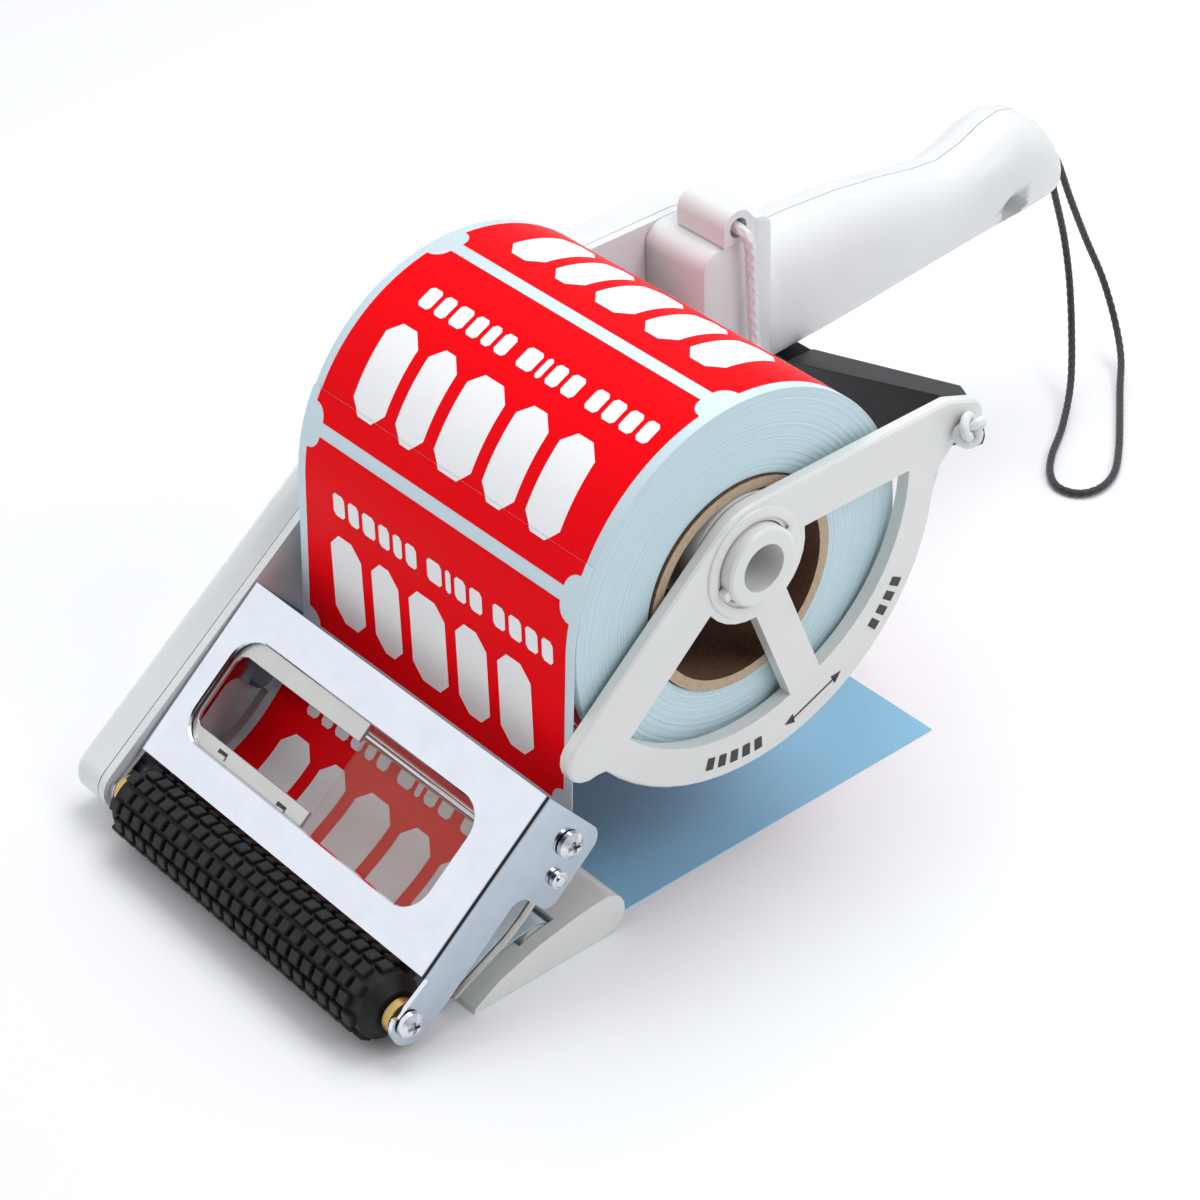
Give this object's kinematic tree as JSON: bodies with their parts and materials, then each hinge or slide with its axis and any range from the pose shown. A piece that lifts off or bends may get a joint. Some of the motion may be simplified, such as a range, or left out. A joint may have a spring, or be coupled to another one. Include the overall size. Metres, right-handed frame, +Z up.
{
  "type": "label applicator",
  "caption": "Hand-held roll label applicator with a side grip, spindle and label roll, half-wheel roll holder, chromed window frame and studded drive roller.",
  "frame": {"origin": "middle of the bounding box of the rigid parts, on the table", "axes": "+X along the roll axis to the free side with the roll holder, +Y to the grip, +Z up"},
  "size_m": [0.136, 0.355, 0.1298],
  "materials": {
    "white_plastic": "satin moulded",
    "grey_plastic": "matt moulded",
    "black_plastic": "satin moulded",
    "chrome": "bright plated",
    "steel": "plain zinc",
    "brass": "turned",
    "rubber": "matt",
    "silicone": "matt",
    "clear": "clear sheet",
    "labels": "printed gloss paper",
    "liner": "silicone-coated paper",
    "board": "spiral-wound board",
    "white_cord": "braided",
    "black_cord": "braided"
  },
  "bodies": {
    "housing": {"body_plate": "white_plastic", "body_shell": "white_plastic", "grip_near_half": "white_plastic", "grip_far_half": "white_plastic", "leash_guide": "white_plastic", "spindle": "white_plastic", "front_foot": "white_plastic", "side_cheek": "grey_plastic", "roll_flange": "black_plastic", "guard_arm": "black_plastic", "front_frame": "chrome", "frame_screw_near": "chrome", "frame_screw_far": "chrome", "press_rod": "chrome", "body_screw_1": "steel", "body_screw_2": "steel", "body_screw_3": "steel", "body_screw_4": "steel", "grip_screw_1": "steel", "grip_screw_2": "steel", "guard_screw_1": "steel", "guard_screw_2": "steel", "spindle_screw": "steel", "label_guide": "steel", "peel_plate": "steel", "pinch_shaft": "steel", "bushing_far": "brass", "bushing_near": "brass", "guide_rivet": "brass", "clear_guide": "clear", "label_web": "liner", "spent_liner": "liner", "leash_cord": "white_cord", "wrist_cord": "black_cord"},
    "roll": {"roll_core": "board", "label_roll": "labels"},
    "holder": {"roll_holder": "white_plastic", "leash_knot": "white_cord"},
    "roller": {"roller_sleeve": "rubber", "roller_shaft": "steel", "roller_gear": "black_plastic", "roller_screw": "chrome"},
    "idler_1": {"idler_gear_1": "black_plastic"},
    "idler_2": {"idler_gear_2": "black_plastic"},
    "idler_3": {"idler_gear_3": "black_plastic"},
    "feed": {"feed_roller": "silicone", "feed_shaft": "steel", "feed_gear": "black_plastic"},
    "pinch": {"pinch_roller": "silicone"}
  },
  "joints": [
    {"name": "roll_spin", "type": "hinge", "parent": "housing", "child": "roll", "pos_m": [0.00545, -0.0445, 0.0795], "axis": [1, 0, 0], "continuous": true},
    {"name": "holder_turn", "type": "hinge", "parent": "housing", "child": "holder", "pos_m": [0.00545, -0.0445, 0.0883], "axis": [1, 0, 0], "range_deg": [0, 60]},
    {"name": "roller_spin", "type": "hinge", "parent": "housing", "child": "roller", "pos_m": [0.00545, -0.1527, 0.0103], "axis": [1, 0, 0], "continuous": true},
    {"name": "idler_1_spin", "type": "hinge", "parent": "housing", "child": "idler_1", "pos_m": [0.00545, -0.14154, 0.00935], "axis": [1, 0, 0], "continuous": true},
    {"name": "idler_2_spin", "type": "hinge", "parent": "housing", "child": "idler_2", "pos_m": [0.00545, -0.12918, 0.0083], "axis": [1, 0, 0], "continuous": true},
    {"name": "idler_3_spin", "type": "hinge", "parent": "housing", "child": "idler_3", "pos_m": [0.00545, -0.11783, 0.00733], "axis": [1, 0, 0], "continuous": true},
    {"name": "feed_spin", "type": "hinge", "parent": "housing", "child": "feed", "pos_m": [0.00545, -0.11045, 0.0067], "axis": [1, 0, 0], "continuous": true},
    {"name": "pinch_spin", "type": "hinge", "parent": "housing", "child": "pinch", "pos_m": [0.00545, -0.10245, 0.0067], "axis": [1, 0, 0], "continuous": true}
  ],
  "couplings": [
    {"joint": "roller_spin", "follows": "roll_spin", "ratio": -4.8835},
    {"joint": "idler_1_spin", "follows": "roll_spin", "ratio": 3.9383},
    {"joint": "idler_2_spin", "follows": "roll_spin", "ratio": -3.9383},
    {"joint": "idler_3_spin", "follows": "roll_spin", "ratio": 4.6957},
    {"joint": "feed_spin", "follows": "roll_spin", "ratio": -11.099},
    {"joint": "pinch_spin", "follows": "roll_spin", "ratio": 19.21}
  ]
}
